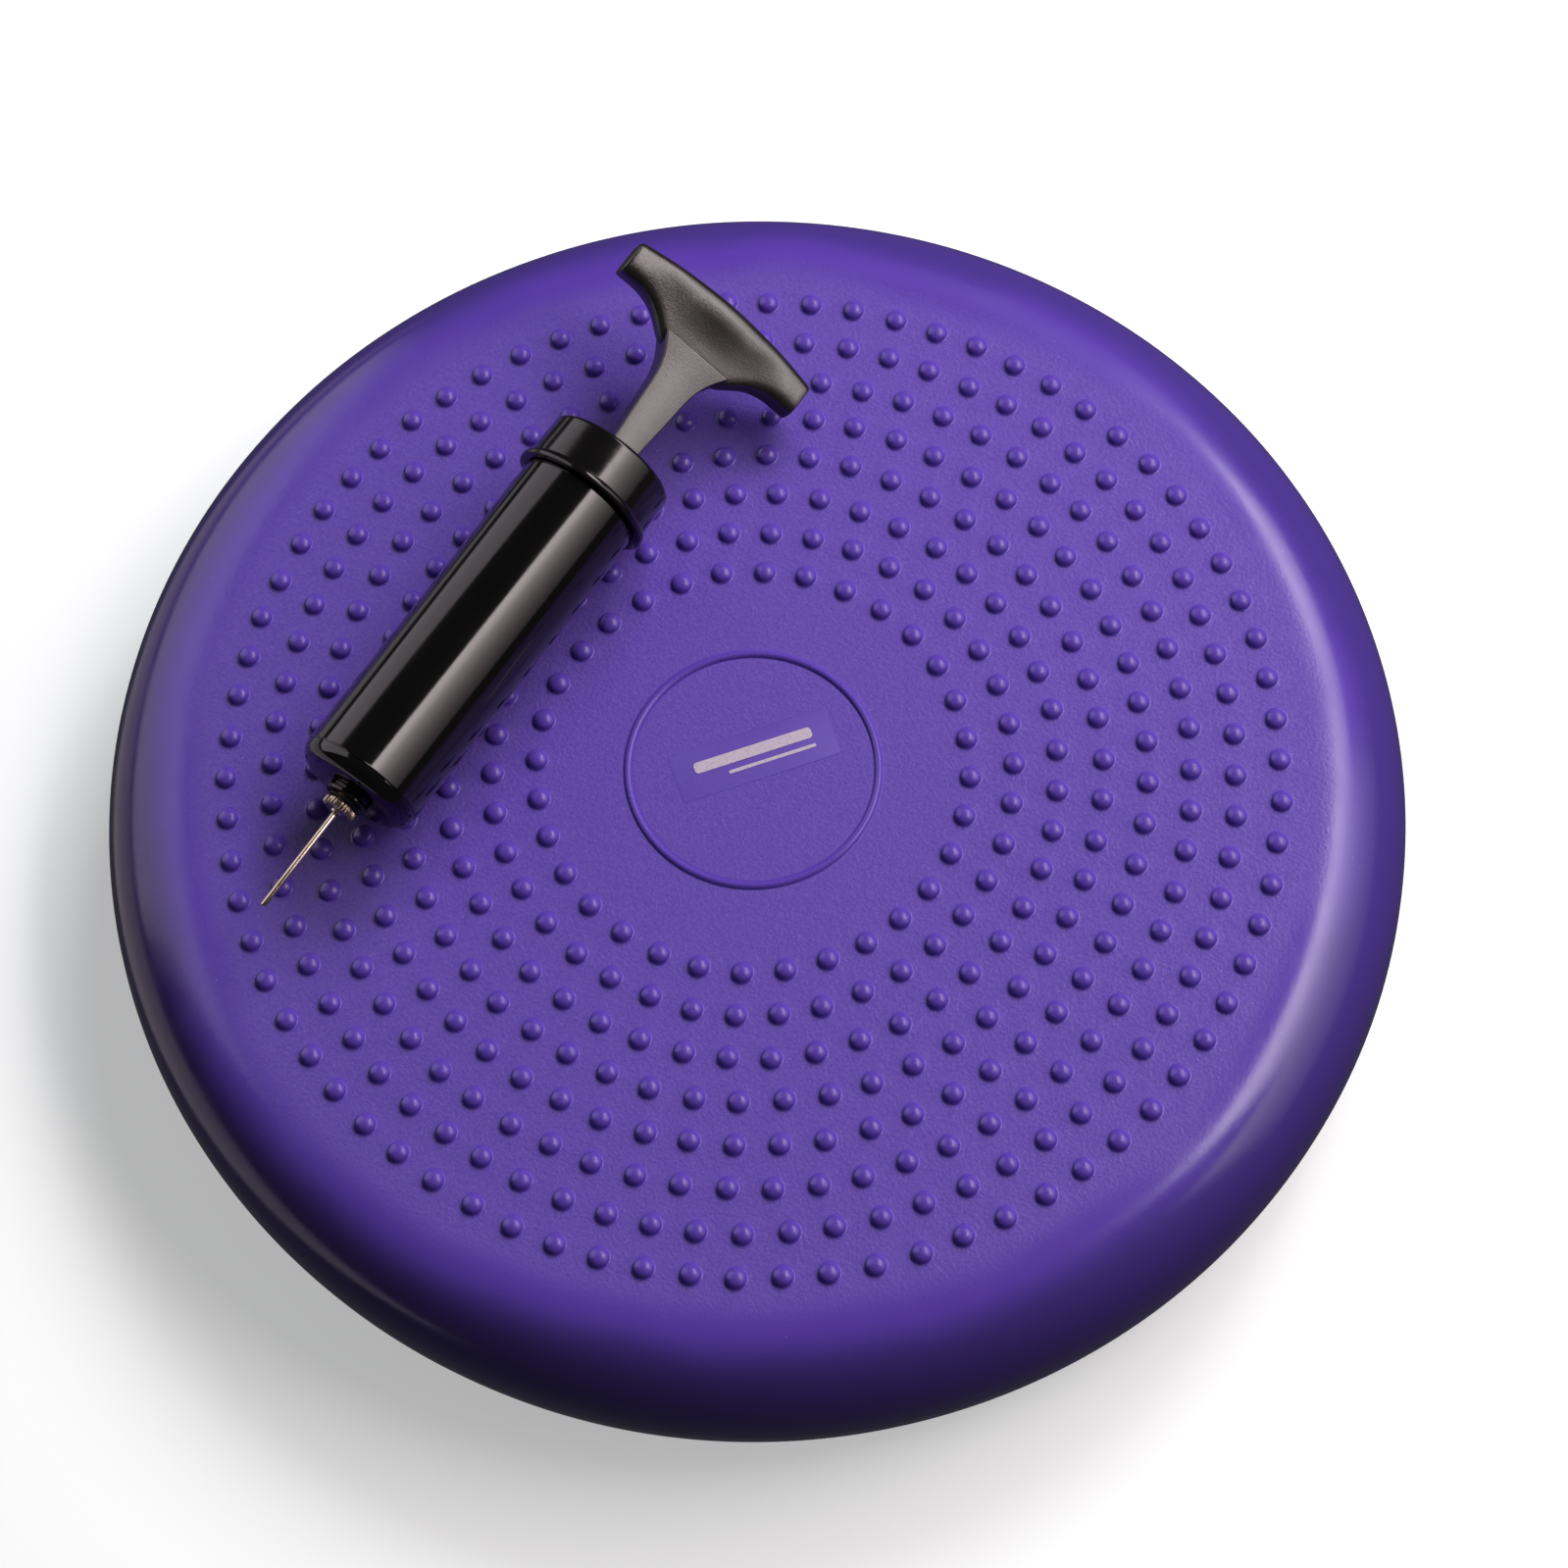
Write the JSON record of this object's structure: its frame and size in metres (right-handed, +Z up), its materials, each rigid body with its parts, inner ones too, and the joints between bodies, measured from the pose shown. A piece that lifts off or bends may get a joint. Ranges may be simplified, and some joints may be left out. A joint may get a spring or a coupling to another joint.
{
  "type": "wobble cushion",
  "caption": "Round inflatable balance cushion with a nubbed top, a needle valve in its rim, and a loose hand pump with its inflating needle on top.",
  "frame": {"origin": "centre of the cushion's underside, on the surface it lies on", "axes": "+Z up, the cushion's axis of revolution; +Y along the pump, from its needle towards its handle; +X to the right of that"},
  "size_m": [0.33, 0.33, 0.0917],
  "materials": {
    "purple_pvc": "soft moulded PVC, matte pebbled face with a glossy smooth rim",
    "valve_pvc": "moulded PVC, satin",
    "valve_rubber": "soft rubber, matte",
    "clear_film": "thin clear film with a plain pale printed panel",
    "gloss_black_plastic": "moulded plastic, high gloss",
    "cap_black_plastic": "moulded plastic, gloss",
    "satin_black_plastic": "moulded plastic, fine grain, satin",
    "piston_plastic": "natural moulded plastic",
    "nickel_plated_brass": "warm nickel plate",
    "needle_steel": "drawn tube, bright",
    "brass": "turned",
    "black_rubber": "thin rubber",
    "gasket_rubber": "rubber washer",
    "cup_rubber": "greased rubber",
    "zinc_plated_steel": "zinc plate",
    "washer_steel": "pressed steel"
  },
  "bodies": {
    "cushion": {"cushion_shell": "purple_pvc", "valve_seat": "valve_pvc", "valve_core": "valve_rubber", "label_film": "clear_film"},
    "pump": {"pump_barrel": "gloss_black_plastic", "pump_cap": "cap_black_plastic", "nozzle_insert": "brass", "check_valve_flap": "black_rubber"},
    "plunger": {"plunger_handle": "satin_black_plastic", "piston_back_disc": "piston_plastic", "piston_cup": "cup_rubber", "piston_front_washer": "washer_steel", "piston_screw": "zinc_plated_steel"},
    "gasket": {"needle_gasket": "gasket_rubber"},
    "needle": {"needle_fitting": "nickel_plated_brass", "needle_tube": "needle_steel"}
  },
  "joints": [
    {"name": "pump_lift_off", "type": "slide", "parent": "cushion", "child": "pump", "axis": [0, 0, 1], "range_m": [0, 0.12]},
    {"name": "plunger_stroke", "type": "slide", "parent": "pump", "child": "plunger", "axis": [0, 0.9997, 0.0262], "range_m": [0, 0.08]},
    {"name": "needle_draw", "type": "slide", "parent": "pump", "child": "gasket", "axis": [0, -0.9997, -0.0262], "range_m": [0, 0.00476]},
    {"name": "needle_unscrew", "type": "hinge", "parent": "gasket", "child": "needle", "pos_m": [-0.0725, -0.07262, 0.07028], "axis": [0, -0.9997, -0.0262], "range_deg": [0, 2160]}
  ],
  "couplings": [
    {"joint": "needle_unscrew", "follows": "needle_draw", "rad_per_m": 7915.8}
  ]
}
